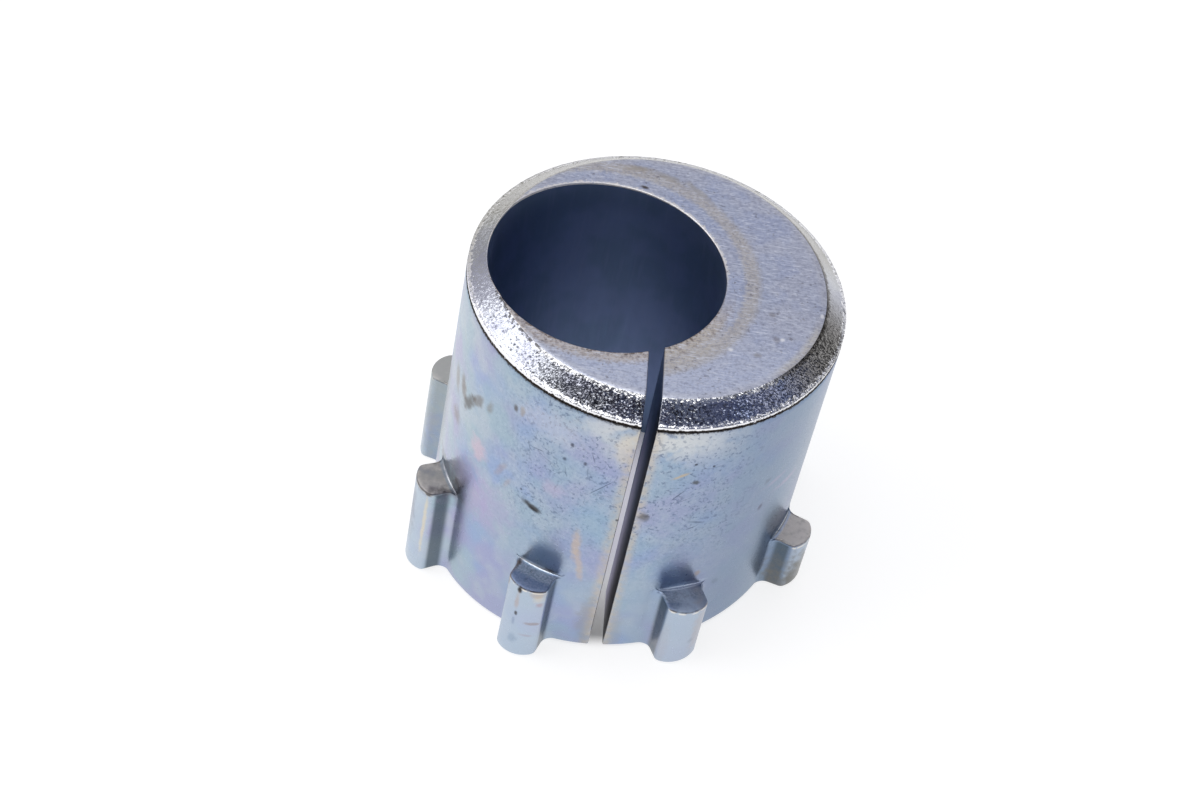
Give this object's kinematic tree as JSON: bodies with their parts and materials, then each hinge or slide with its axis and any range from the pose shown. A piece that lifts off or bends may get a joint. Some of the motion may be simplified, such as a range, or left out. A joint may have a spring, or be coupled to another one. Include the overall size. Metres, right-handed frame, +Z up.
{
  "type": "caster camber bushing",
  "caption": "Split steel sleeve for an axle's ball-joint stud, with a leaning outer wall, a chamfered nose and a ring of indexing lugs at its base.",
  "frame": {"origin": "where the bore's axis meets the base, the flat end with the lugs", "axes": "+Z up along the bore's axis, the slit towards -Y, the outer wall leaning towards +X as it rises"},
  "size_m": [0.0472, 0.044, 0.0399],
  "materials": {
    "zinc_plated_steel": "cold-formed steel with clear blue zinc plating, satin"
  },
  "bodies": {
    "root": {"camber_bushing": "zinc_plated_steel"}
  },
  "joints": []
}
